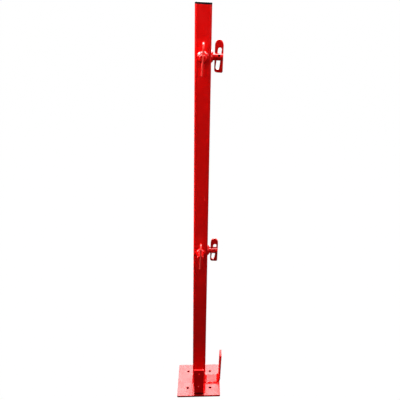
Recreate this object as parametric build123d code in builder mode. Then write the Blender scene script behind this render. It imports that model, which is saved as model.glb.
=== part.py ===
from build123d import *
import os

# Edge-protection corner post: a square steel tube on a bolt-down base plate.
# Two neighbouring faces each carry two rail studs with slotted gravity toggles,
# and one J-shaped toe-board bracket at the foot.
# The origin is the centre of the plate's underside. +X is the right-hand rail
# face, -Y is the front rail face and +Z is up. All sizes are in millimetres.

# Post
tube_side = 40
tube_wall = 3
tube_corner = 5
tube_top = 1150
plate_side = 135
plate_thickness = 6
plate_corner = 3
plate_edge = 0.8
hole_spacing = 72
hole_diameter = 9.5
weld_leg = 2.6

# End cap
cap_head = 5
cap_edge = 1.6
plug_side = 30
plug_depth = 24
plug_wall = 2
fin_side = 33.6
fin_corner = 3
fin_thickness = 1.4
fin_pitch = 6
fin_count = 3

# Rail studs, measured outwards from the tube's face. The pin crosses the slit
# a little above the stud's axis.
upper_rail_height = 1033.5
lower_rail_height = 496
stud_diameter = 18
stud_length = 28.6
stud_edge = 1.5
slit_root = 4.5
slit_width = 5.6
pin_reach = 19
pin_rise = 3.5
stud_weld_radius = 15
stud_weld_height = 5.2
weld_crown = 0.6

# Pins and toggles, measured up and down from the pin's axis. The square foot is
# set a little towards the tube, and the slot leans outwards as it rises.
pin_diameter = 6
pin_length = 11
pin_edge = 0.8
pin_clearance = 0.05
toggle_thickness = 5
toggle_width = 21
toggle_shoulder = 22.7
toggle_crown = 14.5
toggle_foot_inner = 40.2
toggle_foot_outer = 41.3
toggle_foot_shift = 1
toggle_inner_corner = 6.5
toggle_outer_corner = 4
toggle_edge = 1.5
slot_edge = 0.6
slot_width = 9.2
slot_up = 18.5
slot_down = 33.5
slot_lean = 7

# Toe-board brackets, measured outwards from the tube's face. The upright leans
# outwards by upright_lean between the leg and its top.
bar_width = 30
bar_thickness = 6
toe_board_gap = 42.5
upright_lean = 2.5
bracket_tops = {"right": 117, "front": 112}
inner_bend = 9
bracket_corner = 2
bracket_edge = 0.8
nail_hole_diameter = 6
nail_hole_drops = (15.5, 67)
nail_hole_edge = 1
bead_leg = 5.5
bead_run = 42
end_bead_leg = 6
bead_inset = 1

right_face = Plane(origin=(tube_side / 2, 0, 0), x_dir=(0, 1, 0), z_dir=(1, 0, 0))
front_face = Plane(origin=(0, -tube_side / 2, 0), x_dir=(1, 0, 0), z_dir=(0, -1, 0))

# Each rail stud: the face it stands on, its height, how far its slit is turned
# about the stud's own axis from upright, in degrees, and how far its toggle has
# slipped down its slot.
rail_studs = {
    "right_upper": (right_face, upper_rail_height, 0, 0),
    "right_lower": (right_face, lower_rail_height, 5, 0),
    "front_upper": (front_face, upper_rail_height, -3, 4.5),
    "front_lower": (front_face, lower_rail_height, -1.5, 0),
}
brackets = {"right": right_face, "front": front_face}

# The flank of each bracket's leg that is welded, along its face plane's X axis:
# the two flanks look at each other across the post's front right corner.
welded_flanks = {"right": -1, "front": 1}

os.makedirs("parts", exist_ok=True)


def save(piece, label):
    piece.label = label
    export_step(piece, f"parts/{label}.step")


def stud_plane(face, height, turn):
    """Plane on the tube's face at a stud: local Z outwards, local Y upwards."""
    centre = face.from_local_coords((0, height, 0))
    across = face.x_dir.rotate(Axis((0, 0, 0), face.z_dir), turn)
    return Plane(origin=centre, x_dir=across, z_dir=face.z_dir)


def side_plane(face):
    """Plane seen from the side of a face plane: local X outwards, local Y upwards."""
    return Plane(origin=face.origin, x_dir=face.z_dir, z_dir=-face.x_dir)


# Post tube
with BuildPart() as post_tube:
    with BuildSketch(Plane.XY.offset(plate_thickness)):
        RectangleRounded(tube_side, tube_side, tube_corner)
        inside = tube_side - 2 * tube_wall
        RectangleRounded(inside, inside, tube_corner - tube_wall, mode=Mode.SUBTRACT)
    extrude(amount=tube_top - plate_thickness)
save(post_tube.part, "post_tube")

# Base plate with its four fixing holes
with BuildPart() as base_plate:
    with BuildSketch():
        RectangleRounded(plate_side, plate_side, plate_corner)
        with GridLocations(hole_spacing, hole_spacing, 2, 2):
            Circle(hole_diameter / 2, mode=Mode.SUBTRACT)
    extrude(amount=plate_thickness)
    top_rim = base_plate.faces().sort_by(Axis.Z)[-1].outer_wire().edges()
    fillet(top_rim, plate_edge)
save(base_plate.part, "base_plate")

# Fillet weld round the foot of the tube, left open where the bracket legs meet it
with BuildPart() as post_weld:
    foot = tube_side + 2 * weld_leg
    with BuildSketch(Plane.XY.offset(plate_thickness)):
        RectangleRounded(foot, foot, tube_corner + weld_leg)
    extrude(amount=weld_leg - weld_crown, taper=45)
    with BuildSketch(Plane.XY.offset(plate_thickness)):
        RectangleRounded(tube_side, tube_side, tube_corner)
    extrude(amount=weld_leg, mode=Mode.SUBTRACT)
    for face in brackets.values():
        with BuildSketch(face):
            with Locations((0, plate_thickness)):
                Rectangle(bar_width, weld_leg, align=(Align.CENTER, Align.MIN))
        extrude(amount=weld_leg, mode=Mode.SUBTRACT)
save(post_weld.part, "post_weld")

# End cap: a flat head over a hollow plug with gripping fins
with BuildPart() as end_cap:
    with BuildSketch(Plane.XY.offset(tube_top)):
        RectangleRounded(tube_side, tube_side, tube_corner)
    extrude(amount=cap_head)
    fillet(end_cap.faces().sort_by(Axis.Z)[-1].edges(), cap_edge)
    with BuildSketch(Plane.XY.offset(tube_top)):
        Rectangle(plug_side, plug_side)
        hollow = plug_side - 2 * plug_wall
        Rectangle(hollow, hollow, mode=Mode.SUBTRACT)
    extrude(amount=-plug_depth)
    for fin in range(1, fin_count + 1):
        with BuildSketch(Plane.XY.offset(tube_top - fin * fin_pitch)):
            RectangleRounded(fin_side, fin_side, fin_corner)
            Rectangle(plug_side, plug_side, mode=Mode.SUBTRACT)
        extrude(amount=-fin_thickness)
save(end_cap.part, "end_cap")

# Rail studs, their welds, pins and toggles
for name, (face, height, turn, slip) in rail_studs.items():
    base = stud_plane(face, height, turn)
    axis = Axis(base.origin, base.z_dir)
    pin_centre = base.from_local_coords((0, pin_rise, pin_reach))
    cross = Plane(origin=pin_centre, x_dir=base.y_dir, z_dir=base.x_dir)
    slot_axis = base.y_dir.rotate(Axis((0, 0, 0), base.x_dir), slot_lean)
    toggle_centre = pin_centre - slot_axis * slip
    plate = side_plane(Plane(origin=toggle_centre, x_dir=base.x_dir, z_dir=base.z_dir))

    # Round stud with a slit across its end for the toggle and a cross hole for the pin
    with BuildPart() as rail_stud:
        with BuildSketch(base):
            Circle(stud_diameter / 2)
        extrude(amount=stud_length)
        fillet(rail_stud.faces().sort_by(axis)[-1].edges(), stud_edge)
        with BuildSketch(base.offset(slit_root)):
            Rectangle(slit_width, stud_diameter + 1)
        extrude(amount=stud_length, mode=Mode.SUBTRACT)
        with BuildSketch(cross):
            Circle(pin_diameter / 2 + pin_clearance)
        extrude(amount=stud_diameter, both=True, mode=Mode.SUBTRACT)
    save(rail_stud.part, f"rail_stud_{name}")

    # Weld ring round the root of the stud
    with BuildPart() as stud_weld:
        with BuildSketch(side_plane(base)):
            with BuildLine():
                stud_radius = stud_diameter / 2
                root = (0, stud_weld_radius)
                tip = (stud_weld_height, stud_radius)
                middle_radius = (stud_weld_radius + stud_radius) / 2
                ThreePointArc(root, (stud_weld_height / 2 + weld_crown, middle_radius + weld_crown), tip)
                Polyline(tip, (0, stud_radius), root)
            make_face()
        revolve(axis=axis)
    save(stud_weld.part, f"stud_weld_{name}")

    # Dowel pin across the fork, its ends sunk below the surface of the stud
    with BuildPart() as pin:
        with BuildSketch(cross):
            Circle(pin_diameter / 2)
        extrude(amount=pin_length / 2, both=True)
        chamfer(pin.edges(), pin_edge)
    save(pin.part, f"toggle_pin_{name}")

    # Toggle: flat plate with a domed top, a square foot and a leaning slot for the pin
    with BuildPart() as toggle:
        with BuildSketch(plate) as outline:
            half = toggle_width / 2
            with BuildLine():
                shoulder = (0, toggle_shoulder)
                dome = EllipticalCenterArc(shoulder, half, toggle_crown, start_angle=0, arc_size=180)
                inner_corner = (-half - toggle_foot_shift, -toggle_foot_inner)
                outer_corner = (half - toggle_foot_shift, -toggle_foot_outer)
                Polyline(dome @ 1, inner_corner, outer_corner, dome @ 0)
            make_face()
            fillet(outline.vertices().sort_by_distance(inner_corner)[0], toggle_inner_corner)
            fillet(outline.vertices().sort_by_distance(outer_corner)[0], toggle_outer_corner)
            slot_centre = Vector(0, (slot_up - slot_down) / 2).rotate(Axis.Z, -slot_lean)
            with Locations(slot_centre):
                SlotOverall(slot_up + slot_down, slot_width, rotation=90 - slot_lean, mode=Mode.SUBTRACT)
        extrude(amount=toggle_thickness / 2, both=True)
        for flat in toggle.faces().filter_by(Axis(toggle_centre, plate.z_dir)):
            fillet(flat.outer_wire().edges(), toggle_edge)
            fillet(flat.inner_wires().edges(), slot_edge)
    save(toggle.part, f"toggle_{name}")

# Toe-board brackets: flat bar bent to a J, its leg flat on the plate
for name, face in brackets.items():
    top = bracket_tops[name]
    reach = toe_board_gap + bar_thickness
    side = side_plane(face)
    with BuildPart() as bracket:
        with BuildSketch(side) as outline:
            leg_top = plate_thickness + bar_thickness
            with BuildLine():
                Polyline(
                    (0, plate_thickness),
                    (reach, plate_thickness),
                    (reach + upright_lean, top),
                    (toe_board_gap + upright_lean, top),
                    (toe_board_gap, leg_top),
                    (0, leg_top),
                    close=True,
                )
            make_face()
            heel = outline.vertices().sort_by_distance((reach, plate_thickness))[0]
            fillet(heel, inner_bend + bar_thickness)
            crook = outline.vertices().sort_by_distance((toe_board_gap, leg_top))[0]
            fillet(crook, inner_bend)
        extrude(amount=bar_width / 2, both=True)
        corners = bracket.edges().filter_by(Axis(face.origin, face.z_dir)).group_by(Axis.Z)[-1]
        fillet(corners, bracket_corner)
        flanks = bracket.faces().filter_by(Axis(face.origin, face.x_dir))
        fillet(flanks.edges().filter_by(lambda edge: edge.center().Z > leg_top), bracket_edge)
        with BuildSketch(face.offset(reach + upright_lean)):
            with Locations(*[(0, top - drop) for drop in nail_hole_drops]):
                Circle(nail_hole_diameter / 2)
        extrude(amount=-bar_thickness - upright_lean, mode=Mode.SUBTRACT)
        fillet(bracket.edges().filter_by(GeomType.ELLIPSE), nail_hole_edge)
    save(bracket.part, f"toe_board_bracket_{name}")

    # Weld beads down one flank of the leg and across its end
    with BuildPart() as bracket_weld:
        with BuildSketch(face):
            flank = welded_flanks[name]
            edge = flank * bar_width / 2
            with BuildLine():
                Polyline(
                    (edge, plate_thickness),
                    (edge + flank * bead_leg, plate_thickness),
                    (edge, plate_thickness + bead_leg),
                    close=True,
                )
            make_face()
        extrude(amount=bead_run)
        with BuildSketch(side):
            with BuildLine():
                end_top = (0, leg_top + end_bead_leg)
                Polyline((0, leg_top), (end_bead_leg, leg_top), end_top, close=True)
            make_face()
        extrude(amount=bar_width / 2 - bead_inset, both=True)
        add(post_weld.part, mode=Mode.SUBTRACT)
    save(bracket_weld.part, f"bracket_weld_{name}")
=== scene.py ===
"""Guard rail corner post: looks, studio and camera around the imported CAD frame."""

import math

import bmesh
import bpy
from mathutils import Matrix, Vector, noise


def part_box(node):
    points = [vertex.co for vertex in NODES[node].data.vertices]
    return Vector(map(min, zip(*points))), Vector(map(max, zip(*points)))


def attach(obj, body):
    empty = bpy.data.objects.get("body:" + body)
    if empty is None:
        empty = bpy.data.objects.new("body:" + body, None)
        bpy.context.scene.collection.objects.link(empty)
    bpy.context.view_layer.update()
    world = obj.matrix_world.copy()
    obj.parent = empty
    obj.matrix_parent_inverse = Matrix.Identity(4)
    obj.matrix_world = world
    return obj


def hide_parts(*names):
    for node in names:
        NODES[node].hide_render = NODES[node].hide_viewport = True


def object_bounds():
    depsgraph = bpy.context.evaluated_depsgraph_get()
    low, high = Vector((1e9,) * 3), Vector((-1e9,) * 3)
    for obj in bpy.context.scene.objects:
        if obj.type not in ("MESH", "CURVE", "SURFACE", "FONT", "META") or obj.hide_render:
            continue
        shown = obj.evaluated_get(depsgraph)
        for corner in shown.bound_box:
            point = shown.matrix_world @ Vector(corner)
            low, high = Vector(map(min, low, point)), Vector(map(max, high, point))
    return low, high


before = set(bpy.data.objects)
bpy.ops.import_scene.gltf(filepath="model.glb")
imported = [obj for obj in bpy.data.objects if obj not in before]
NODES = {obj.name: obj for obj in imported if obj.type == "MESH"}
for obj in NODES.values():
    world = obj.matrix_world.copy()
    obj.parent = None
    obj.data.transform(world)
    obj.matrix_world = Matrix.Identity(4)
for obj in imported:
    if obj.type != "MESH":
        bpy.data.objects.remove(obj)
cad_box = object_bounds()

MM = 0.001
STUD_NAMES = ("right_upper", "right_lower", "front_upper", "front_lower")

# Sizes taken from the frame
tube_low, tube_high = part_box("post_tube")
plate_low, plate_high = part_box("base_plate")
TUBE_HALF = tube_high.x
PLATE_TOP = plate_high.z
TUBE_CORNER = 5 * MM

# Weld beads
RIPPLE_PITCH = 2.1 * MM
RIDGE = 0.4 * MM
STUD_RADIUS = 9 * MM
STUD_BEAD_REACH = 5.7 * MM
STUD_BEAD_HEIGHT = 4.8 * MM
FOOT_BEAD = 1.9 * MM
LEG_BEADS = {"right": (5.2 * MM, 3.0 * MM), "front": (6.4 * MM, 4.2 * MM)}
END_BEAD = 5.5 * MM
END_BEAD_INSET = 1.5 * MM
BAR_THICKNESS = 6 * MM
EMBED = 0.35 * MM
RING_STEPS = 300


# ---------------------------------------------------------------- materials


class Graph:
    """A small helper around one material's node tree."""

    def __init__(self, name):
        self.material = bpy.data.materials.new(name)
        self.material.use_nodes = True
        self.tree = self.material.node_tree
        self.tree.nodes.clear()
        self.output = self.node("ShaderNodeOutputMaterial")
        self.shader = self.node("ShaderNodeBsdfPrincipled")
        self.link(self.shader.outputs["BSDF"], self.output.inputs["Surface"])
        coordinates = self.node("ShaderNodeTexCoord")
        self.place = coordinates.outputs["Object"]
        self.facing = coordinates.outputs["Normal"]

    def node(self, kind, **settings):
        made = self.tree.nodes.new(kind)
        for key, value in settings.items():
            setattr(made, key, value)
        return made

    def link(self, source, target):
        self.tree.links.new(source, target)

    def noise(self, scale, detail=3.0, stretch=(1, 1, 1), roughness=0.55):
        """Fractal noise in metres: scale is cells per metre."""
        mapping = self.node("ShaderNodeMapping")
        mapping.inputs["Scale"].default_value = stretch
        self.link(self.place, mapping.inputs["Vector"])
        made = self.node("ShaderNodeTexNoise")
        made.inputs["Scale"].default_value = scale
        made.inputs["Detail"].default_value = detail
        made.inputs["Roughness"].default_value = roughness
        self.link(mapping.outputs["Vector"], made.inputs["Vector"])
        return made.outputs["Fac"]

    def remap(self, value, low, high, new_low=0.0, new_high=1.0):
        made = self.node("ShaderNodeMapRange", clamp=True, interpolation_type="SMOOTHSTEP")
        self.link(value, made.inputs["Value"])
        made.inputs["From Min"].default_value = low
        made.inputs["From Max"].default_value = high
        made.inputs["To Min"].default_value = new_low
        made.inputs["To Max"].default_value = new_high
        return made.outputs["Result"]

    def math(self, operation, first, second=None):
        made = self.node("ShaderNodeMath", operation=operation)
        for socket, value in zip(made.inputs, (first, second)):
            if value is None:
                continue
            if isinstance(value, (int, float)):
                socket.default_value = value
            else:
                self.link(value, socket)
        return made.outputs["Value"]

    def mix(self, factor, first, second):
        """Blend of two colours, each a colour tuple or a socket."""
        made = self.node("ShaderNodeMix", data_type="RGBA")
        self.link(factor, made.inputs["Factor"])
        for socket, value in ((made.inputs[6], first), (made.inputs[7], second)):
            if isinstance(value, tuple):
                socket.default_value = (*value, 1.0)
            else:
                self.link(value, socket)
        return made.outputs[2]

    def bump(self, height, distance, strength=1.0, under=None):
        made = self.node("ShaderNodeBump")
        made.inputs["Distance"].default_value = distance
        made.inputs["Strength"].default_value = strength
        self.link(height, made.inputs["Height"])
        if under is not None:
            self.link(under, made.inputs["Normal"])
        return made.outputs["Normal"]

    def axis(self, vector, name):
        """One of the three numbers of a vector socket."""
        made = self.node("ShaderNodeSeparateXYZ")
        self.link(vector, made.inputs["Vector"])
        return made.outputs[name]


# Paint colours, linear. The bracket bar's are lighter, its heel and the plate's edges darker as painted
# shade.
RED_DEEP = (0.68, 0.0014, 0.0011)
RED_MAIN = (0.75, 0.0020, 0.0014)
RED_WORN = (0.80, 0.020, 0.015)
BAR_DEEP = (0.84, 0.0017, 0.0014)
BAR_MAIN = (0.93, 0.0024, 0.0017)
# Painted shade for the plate's sawn edges and bores.
EDGE_SHADE = (0.30, 0.0012, 0.0010)
# Painted shade for what faces down round a bracket's heel.
HEEL_SHADE = (0.03, 0.0006, 0.0005)
# Painted highlight for a toggle's rim.
RIM_HIGHLIGHT = (0.94, 0.06, 0.048)


def shaded_plate_edges(g):
    """Mask of the plate's sawn edges and bores, where shade is painted on."""
    return g.remap(g.axis(g.place, "Z"), PLATE_TOP - 1.0 * MM, PLATE_TOP - 0.3 * MM, 1, 0)


def shaded_heel(g):
    """Mask of what faces down on a bracket, round the outside of its bend, where shade is painted on.
    """
    return g.remap(g.axis(g.facing, "Z"), -0.35, -0.05, 1, 0)


def rim_highlight(g, axis):
    """Mask of a toggle's rim, where a highlight is painted on. The axis is the one across its flat
    sides.
    """
    rim = g.remap(g.math("ABSOLUTE", g.axis(g.facing, axis)), 0.55, 0.9, 1, 0)
    patches = g.remap(g.noise(120, 4), 0.3, 0.6, 0.55, 1)
    return g.math("MULTIPLY", rim, patches)


def red_paint(
    name,
    peel=0.8,
    wave=0.5,
    scuff=0.2,
    rough=(0.16, 0.26),
    reds=(RED_DEEP, RED_MAIN),
    shine=0.8,
    edges=False,
    heel=False,
    rim_axis=None,
):
    """Thick gloss enamel over steel: slight mottle, orange peel, slow waves and dull scuffs."""
    g = Graph(name)
    mottle = g.remap(g.noise(30, 3), 0.3, 0.7)
    colour = g.mix(mottle, *reds)
    streaks = g.remap(g.noise(140, 5, stretch=(1, 1, 0.12)), 0.60, 0.74, 0, scuff)
    patches = g.remap(g.noise(18, 3), 0.45, 0.62)
    scuffed = g.math("MULTIPLY", streaks, patches)
    colour = g.mix(scuffed, colour, RED_WORN)
    # Painted shade on the plate's sawn edges and bores.
    if edges:
        colour = g.mix(shaded_plate_edges(g), colour, EDGE_SHADE)
    # Painted shade on what faces down round a bracket's heel.
    if heel:
        colour = g.mix(shaded_heel(g), colour, HEEL_SHADE)
    # Painted highlight along a toggle's rim.
    if rim_axis:
        colour = g.mix(rim_highlight(g, rim_axis), colour, RIM_HIGHLIGHT)
    g.link(colour, g.shader.inputs["Base Color"])
    dull = g.remap(g.noise(75, 4), 0.3, 0.7, rough[0], rough[1])
    g.link(g.math("ADD", dull, g.math("MULTIPLY", scuffed, 0.25)), g.shader.inputs["Roughness"])
    slow = g.bump(g.noise(38, 2), 0.35 * MM * wave, 0.5)
    fine = g.bump(g.noise(520, 2), 0.05 * MM * peel, 0.6, under=slow)
    g.link(fine, g.shader.inputs["Normal"])
    g.shader.inputs["Specular IOR Level"].default_value = shine
    return g.material


def cap_plastic(name):
    """Black moulded polyethylene with a fine spark-eroded grain."""
    g = Graph(name)
    mottle = g.remap(g.noise(90, 4), 0.3, 0.7)
    g.link(g.mix(mottle, (0.002, 0.002, 0.003), (0.006, 0.006, 0.007)), g.shader.inputs["Base Color"])
    g.link(g.remap(g.noise(60, 3), 0.3, 0.7, 0.34, 0.5), g.shader.inputs["Roughness"])
    g.link(g.bump(g.noise(1800, 2), 0.05 * MM, 0.5), g.shader.inputs["Normal"])
    g.shader.inputs["Specular IOR Level"].default_value = 0.2
    return g.material


def pin_steel(name):
    """Dark oiled spring steel with thin paint overspray."""
    g = Graph(name)
    spray = g.remap(g.noise(300, 4), 0.42, 0.6)
    g.link(g.mix(spray, (0.05, 0.03, 0.028), (0.16, 0.006, 0.005)), g.shader.inputs["Base Color"])
    g.link(g.remap(g.noise(420, 3), 0.3, 0.7, 0.35, 0.55), g.shader.inputs["Roughness"])
    g.link(g.bump(g.noise(1300, 3), 0.04 * MM, 0.6), g.shader.inputs["Normal"])
    g.shader.inputs["Metallic"].default_value = 0.4
    return g.material


def paint_object(obj, material):
    obj.data.materials.clear()
    obj.data.materials.append(material)


# -------------------------------------------------------------- weld beads


def ripple(along, across):
    """Height of the frozen weld pool at a place on the bead, from -1 to 1."""
    chevron = 1.1 * (across - 0.5) ** 2 * 4
    phase = along / RIPPLE_PITCH + chevron + 0.5 * noise.noise(Vector((along * 260, 3.1, across)))
    saw = phase - math.floor(phase)
    return 1 - 2 * abs(saw - 0.35) / (0.65 if saw > 0.35 else 0.35)


def bead_section(size_out, size_up, along, seed, passes, points=17):
    """Outline of a fillet weld in (out, up), from the root corner round its rippled face.

    Each pass of the welder leaves one ridge along the bead.
    """
    swell = 1 + 0.10 * noise.noise(Vector((along * 90, seed, 0.0)))
    outline = [(-EMBED, -EMBED), (size_out * swell, -EMBED)]
    for index in range(points):
        across = index / (points - 1)
        out = size_out * swell * (1 - across)
        up = size_up * swell * across
        edge = math.sin(math.pi * across)
        lift = 0.14 * (size_out + size_up) * 0.5 * edge
        if passes > 1:
            lift += RIDGE * math.sin(math.pi * passes * across) ** 2
        lift += 0.09 * MM * ripple(along, across) * min(1.0, 2.2 * edge)
        lift += 0.16 * MM * noise.noise(Vector((along * 420, across * 3, seed))) * edge
        outline.append((out + lift * 0.707, up + lift * 0.707))
    outline.append((-EMBED, size_up * swell))
    return outline


def sweep_bead(mesh, path, size_out, size_up, seed, closed=False, taper=1.0, passes=1):
    """Sweep the weld section along path, a list of (point, out, up), shrinking by taper to its end."""
    rings = []
    along = 0.0
    last = path[0][0]
    length = sum((b[0] - a[0]).length for a, b in zip(path, path[1:]))
    for point, out, up in path:
        along += (point - last).length
        last = point
        ends = 1.0
        if not closed:
            near = min(along, length - along) / (3.2 * MM)
            ends = 0.35 + 0.65 * min(1.0, max(0.0, near)) ** 0.5
            ends *= 1 + (taper - 1) * along / length
        outline = bead_section(size_out * ends, size_up * ends, along, seed, passes)
        rings.append([mesh.verts.new(point + out * a + up * b) for a, b in outline])
    pairs = list(zip(rings, rings[1:]))
    if closed:
        pairs.append((rings[-1], rings[0]))
    count = len(rings[0])
    for first, second in pairs:
        for index in range(count):
            after = (index + 1) % count
            mesh.faces.new((first[index], first[after], second[after], second[index]))
    if not closed:
        mesh.faces.new(reversed(rings[0]))
        mesh.faces.new(rings[-1])


def finish_bead(mesh, name, node, material):
    bmesh.ops.recalc_face_normals(mesh, faces=mesh.faces)
    data = bpy.data.meshes.new(name)
    mesh.to_mesh(data)
    mesh.free()
    for polygon in data.polygons:
        polygon.use_smooth = True
    made = bpy.data.objects.new(name, data)
    bpy.context.scene.collection.objects.link(made)
    data.materials.append(material)
    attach(made, "post")
    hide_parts(node)
    return made


def straight(start, end, out, up, step=0.35 * MM):
    count = max(2, round((end - start).length / step))
    return [(start.lerp(end, index / count), out, up) for index in range(count + 1)]


def stud_bead(name, seed, material):
    """Rippled weld ring round a stud's root. The stud's axis comes from its CAD box."""
    low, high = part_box(f"rail_stud_{name}")
    middle = (low + high) / 2
    if name.startswith("right"):
        centre = Vector((TUBE_HALF, middle.y, middle.z))
        outward, side = Vector((1, 0, 0)), Vector((0, 1, 0))
    else:
        centre = Vector((middle.x, -TUBE_HALF, middle.z))
        outward, side = Vector((0, -1, 0)), Vector((1, 0, 0))
    upward = Vector((0, 0, 1))
    path = []
    for index in range(RING_STEPS):
        turn = 2 * math.pi * index / RING_STEPS
        radial = side * math.cos(turn) + upward * math.sin(turn)
        path.append((centre + radial * STUD_RADIUS, radial, outward))
    mesh = bmesh.new()
    sweep_bead(mesh, path, STUD_BEAD_REACH, STUD_BEAD_HEIGHT, seed, closed=True, passes=2)
    return finish_bead(mesh, f"stud_bead_{name}", f"stud_weld_{name}", material)


def corner_arc(centre_x, centre_y, start_turn, steps=26):
    """Quarter turn of the tube's foot round one rounded corner, anticlockwise."""
    path = []
    for index in range(steps + 1):
        turn = math.radians(start_turn + 90 * index / steps)
        radial = Vector((math.cos(turn), math.sin(turn), 0))
        point = Vector((centre_x, centre_y, PLATE_TOP)) + radial * TUBE_CORNER
        path.append((point, radial, Vector((0, 0, 1))))
    return path


def foot_bead(material):
    """Weld round the foot of the tube, broken where the two bracket legs meet it."""
    flat = TUBE_HALF - TUBE_CORNER
    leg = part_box("toe_board_bracket_right")[1].y
    up = Vector((0, 0, 1))
    east, north = Vector((1, 0, 0)), Vector((0, 1, 0))

    def at(x, y):
        return Vector((x, y, PLATE_TOP))

    long_run = straight(at(TUBE_HALF, leg), at(TUBE_HALF, flat), east, up)[:-1]
    long_run += corner_arc(flat, flat, 0)
    long_run += straight(at(flat, TUBE_HALF), at(-flat, TUBE_HALF), north, up)[1:-1]
    long_run += corner_arc(-flat, flat, 90)
    long_run += straight(at(-TUBE_HALF, flat), at(-TUBE_HALF, -flat), -east, up)[1:-1]
    long_run += corner_arc(-flat, -flat, 180)
    short_run = corner_arc(flat, -flat, 270)
    mesh = bmesh.new()
    sweep_bead(mesh, long_run, FOOT_BEAD, FOOT_BEAD, 5.0)
    sweep_bead(mesh, short_run, FOOT_BEAD, FOOT_BEAD, 6.0)
    return finish_bead(mesh, "post_bead", "post_weld", material)


def bracket_bead(side, seed, material):
    """Bead down the flank of a bracket's leg that faces the other bracket, and one across its end."""
    outward = Vector((1, 0, 0)) if side == "right" else Vector((0, -1, 0))
    flank = Vector((0, -1, 0)) if side == "right" else Vector((1, 0, 0))
    up = Vector((0, 0, 1))
    weld_low, weld_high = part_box(f"bracket_weld_{side}")
    low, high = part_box(f"toe_board_bracket_{side}")
    half = abs((high - low).dot(flank)) / 2
    run_end = max(weld_low.dot(outward), weld_high.dot(outward))
    leg_top = PLATE_TOP + BAR_THICKNESS
    mesh = bmesh.new()
    start = outward * (TUBE_HALF + FOOT_BEAD * 0.7) + flank * half + up * PLATE_TOP
    end = outward * run_end + flank * half + up * PLATE_TOP
    first, last = LEG_BEADS[side]
    sweep_bead(mesh, straight(start, end, flank, up), first, first, seed, taper=last / first)
    inset = flank * (half - END_BEAD_INSET)
    start = outward * TUBE_HALF - inset + up * leg_top
    end = outward * TUBE_HALF + inset + up * leg_top
    sweep_bead(mesh, straight(start, end, outward, up), END_BEAD, END_BEAD, seed + 1)
    return finish_bead(mesh, f"bracket_bead_{side}", f"bracket_weld_{side}", material)


# ------------------------------------------------------------------- object

paint_post = red_paint("paint_post", peel=0.6, wave=0.4, scuff=0.15)
# The plate's edges and bores get painted shade.
paint_plate = red_paint(
    "paint_plate", peel=1.3, wave=1.6, scuff=0.5, rough=(0.26, 0.42), shine=0.5, edges=True
)
# The brackets get painted shade on what faces down round the heel.
paint_bar = red_paint(
    "paint_bar", wave=0.8, rough=(0.26, 0.36), reds=(BAR_DEEP, BAR_MAIN), shine=0.25, heel=True
)
paint_fittings = red_paint("paint_fittings")
paint_weld = red_paint("paint_weld", wave=0.4, scuff=0.1, rough=(0.08, 0.14), shine=1.0)
# Both toggles get a painted highlight along the rim.
paint_front_toggle = red_paint("paint_front_toggle", rim_axis="X")
paint_right_toggle = red_paint("paint_right_toggle", rim_axis="Y")
black_cap = cap_plastic("black_cap")
dark_pin = pin_steel("dark_pin")

for name, obj in NODES.items():
    if name == "post_tube":
        paint_object(obj, paint_post)
    elif name == "base_plate":
        paint_object(obj, paint_plate)
    elif name == "end_cap":
        paint_object(obj, black_cap)
    elif name.startswith("toggle_pin"):
        paint_object(obj, dark_pin)
    elif name.startswith("toggle_front"):
        paint_object(obj, paint_front_toggle)
    elif name.startswith("toggle_right"):
        paint_object(obj, paint_right_toggle)
    elif name.startswith("toe_board"):
        paint_object(obj, paint_bar)
    else:
        paint_object(obj, paint_fittings)

for seed, name in enumerate(STUD_NAMES):
    stud_bead(name, 10.0 + seed, paint_weld)
foot_bead(paint_weld)
bracket_bead("right", 20.0, paint_weld)
bracket_bead("front", 30.0, paint_weld)


# ------------------------------------------------------------------- studio

# Brightness of the surroundings, and the heights of a unit direction between which it rises
GROUND_LEVEL = 0.02
SKY_LEVEL = 0.14
GROUND_EDGE = 0.05
SKY_EDGE = 0.6

# The floor carries a painted shadow under the plate, fading out between these distances inside its
# sides
SHADE_INSET = 12 * MM
LIT_INSET = 4 * MM
FLOOR_HALF = 60.0

# Camera, in metres and degrees. The shift puts the image centre right of the middle.
CAMERA_PLACE = Vector((0.00702, -1.17902, 1.17523))
CAMERA_PITCH = math.radians(23.694)
CAMERA_ROLL = math.radians(-3.137)
CAMERA_YAW = math.radians(-5.709)
CAMERA_LENS = 42.1
CAMERA_SHIFT = -0.1164

scene = bpy.context.scene
scene.view_settings.view_transform = "Standard"
scene.view_settings.look = "None"


def area_light(name, place, target, size, radiance, spread=180):
    """A square soft box, turned to face target. A spread below 180 degrees fades it off its axis."""
    data = bpy.data.lights.new(name, "AREA")
    data.shape = "RECTANGLE"
    data.size, data.size_y = size
    data.energy = radiance * math.pi * size[0] * size[1]
    if spread < 180:
        half = math.radians(spread) / 2
        data.spread = 2 * half
        data.energy *= 1 - half / math.tan(half)
    lamp = bpy.data.objects.new(name, data)
    lamp.location = place
    lamp.rotation_euler = (Vector(target) - Vector(place)).to_track_quat("-Z", "Y").to_euler()
    lamp.visible_camera = False
    scene.collection.objects.link(lamp)
    return lamp


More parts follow.
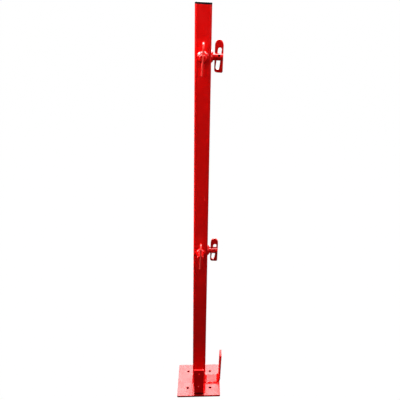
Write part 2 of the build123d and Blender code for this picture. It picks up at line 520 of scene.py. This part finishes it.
def make_world():
    """White behind the object. What lights it is a soft grey sky over a dark ground."""
    world = bpy.data.worlds.new("studio")
    world.use_nodes = True
    tree = world.node_tree
    tree.nodes.clear()
    output = tree.nodes.new("ShaderNodeOutputWorld")
    mix = tree.nodes.new("ShaderNodeMixShader")
    path = tree.nodes.new("ShaderNodeLightPath")
    shade = tree.nodes.new("ShaderNodeBackground")
    white = tree.nodes.new("ShaderNodeBackground")
    direction = tree.nodes.new("ShaderNodeTexCoord")
    split = tree.nodes.new("ShaderNodeSeparateXYZ")
    level = tree.nodes.new("ShaderNodeMapRange")
    level.inputs["From Min"].default_value = GROUND_EDGE
    level.inputs["From Max"].default_value = SKY_EDGE
    level.inputs["To Min"].default_value = GROUND_LEVEL
    level.inputs["To Max"].default_value = SKY_LEVEL
    white.inputs["Strength"].default_value = 1.0
    tree.links.new(direction.outputs["Generated"], split.inputs["Vector"])
    tree.links.new(split.outputs["Z"], level.inputs["Value"])
    tree.links.new(level.outputs["Result"], shade.inputs["Strength"])
    for background in (shade, white):
        background.inputs["Color"].default_value = (1, 1, 1, 1)
    tree.links.new(path.outputs["Is Camera Ray"], mix.inputs["Fac"])
    tree.links.new(shade.outputs["Background"], mix.inputs[1])
    tree.links.new(white.outputs["Background"], mix.inputs[2])
    tree.links.new(mix.outputs["Shader"], output.inputs["Surface"])
    scene.world = world


def make_floor():
    """A plain pale floor that casts no light on the object, with a painted shadow where the plate
    covers it.
    """
    mesh = bmesh.new()
    bmesh.ops.create_grid(mesh, x_segments=2, y_segments=2, size=FLOOR_HALF)
    data = bpy.data.meshes.new("floor")
    mesh.to_mesh(data)
    mesh.free()
    floor = bpy.data.objects.new("floor", data)
    floor.location = (0, 0, cad_box[0][2])
    scene.collection.objects.link(floor)
    g = Graph("floor_white")
    across, along = (g.math("ABSOLUTE", g.axis(g.place, name)) for name in ("X", "Y"))
    reach = g.math("MAXIMUM", across, along)
    # Painted shadow: the floor does not glow where the plate covers it.
    open_floor = g.remap(reach, plate_high.x - SHADE_INSET, plate_high.x - LIT_INSET)
    g.link(open_floor, g.shader.inputs["Emission Strength"])
    g.shader.inputs["Base Color"].default_value = (0.001, 0.001, 0.001, 1)
    g.shader.inputs["Roughness"].default_value = 0.9
    g.shader.inputs["Specular IOR Level"].default_value = 0.0
    g.shader.inputs["Emission Color"].default_value = (1, 1, 1, 1)
    data.materials.append(g.material)
    floor.visible_diffuse = False
    floor.visible_glossy = False


def make_camera():
    """Camera at its place, turned by yaw and pitch and then rolled about its own axis."""
    level = Vector((math.cos(CAMERA_YAW), math.sin(CAMERA_YAW), 0))
    ahead = Vector((-math.sin(CAMERA_YAW), math.cos(CAMERA_YAW), 0))
    forward = ahead * math.cos(CAMERA_PITCH) - Vector((0, 0, math.sin(CAMERA_PITCH)))
    down = forward.cross(level)
    right = level * math.cos(CAMERA_ROLL) + down * math.sin(CAMERA_ROLL)
    below = down * math.cos(CAMERA_ROLL) - level * math.sin(CAMERA_ROLL)
    turned = Matrix((right, -below, -forward)).transposed()
    data = bpy.data.cameras.new("camera")
    data.sensor_width = 36
    data.lens = CAMERA_LENS
    data.shift_x = CAMERA_SHIFT
    data.clip_start = 0.01
    camera = bpy.data.objects.new("camera", data)
    camera.matrix_world = Matrix.Translation(CAMERA_PLACE) @ turned.to_4x4()
    scene.collection.objects.link(camera)
    scene.camera = camera


make_world()
make_floor()
make_camera()
area_light("top_box", (0, 0.3, 2.4), (0, 0.3, 0.8), (1.6, 1.2), 18)
area_light("back_box", (-0.1, 2.0, 2.0), (0, 0, 0.1), (2.2, 2.2), 10)
area_light("key_box", (-0.5, -0.57, 1.47), (0, 0, 1.08), (0.17, 0.22), 20)
area_light("upper_left_box", (-0.41, -0.05, 1.38), (0, -0.03, 1.03), (0.3, 0.3), 42, 60)
area_light("lower_left_box", (-0.41, -0.05, 0.85), (0, -0.03, 0.5), (0.3, 0.3), 27, 60)
area_light("right_box", (0.7, -0.25, 2.0), (0, 0, 1.0), (0.2, 0.24), 44)
area_light("left_front_box", (-1.9, -1.7, 1.6), (0, 0, 0.2), (1.3, 0.8), 2.8)
area_light("right_front_box", (1.7, -1.7, 1.6), (0, 0, 0.2), (1.3, 0.8), 4.0)
